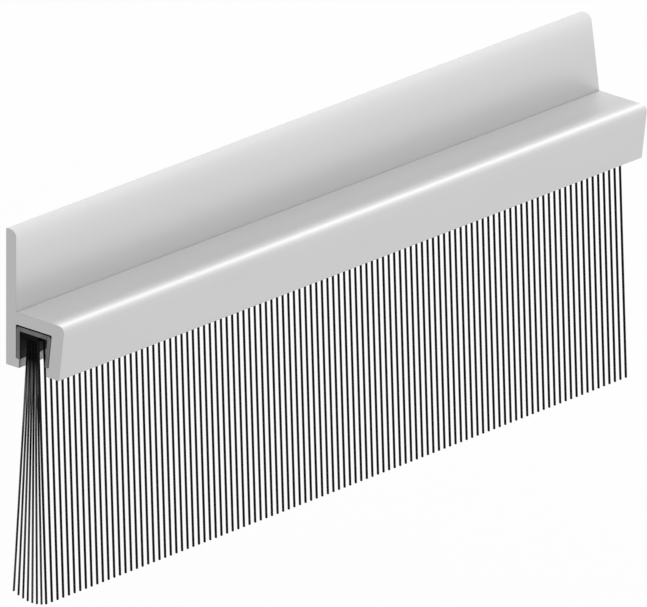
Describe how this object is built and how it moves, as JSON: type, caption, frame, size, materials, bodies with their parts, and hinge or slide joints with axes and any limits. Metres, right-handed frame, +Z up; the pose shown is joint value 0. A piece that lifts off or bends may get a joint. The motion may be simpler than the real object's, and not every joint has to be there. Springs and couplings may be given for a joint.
{
  "type": "door bottom brush seal",
  "caption": "Straight aluminium carrier for the foot of a door, holding a steel channel with a hanging row of black brush filaments.",
  "frame": {"origin": "middle of the flange's back face, which lies on the face of the door", "axes": "+X along the seal from its near end to its far end, +Y out of the flange's back towards the door, +Z up"},
  "size_m": [0.1328, 0.0119, 0.0594],
  "materials": {
    "anodised_aluminium": "satin anodised",
    "galvanised_steel": "dull grey zinc",
    "black_nylon": "matt black"
  },
  "bodies": {
    "root": {"carrier_profile": "anodised_aluminium", "brush_channel": "galvanised_steel", "root_bead": "black_nylon", "front_row_bristles": "black_nylon", "end_fan_bristles": "black_nylon"}
  },
  "joints": []
}
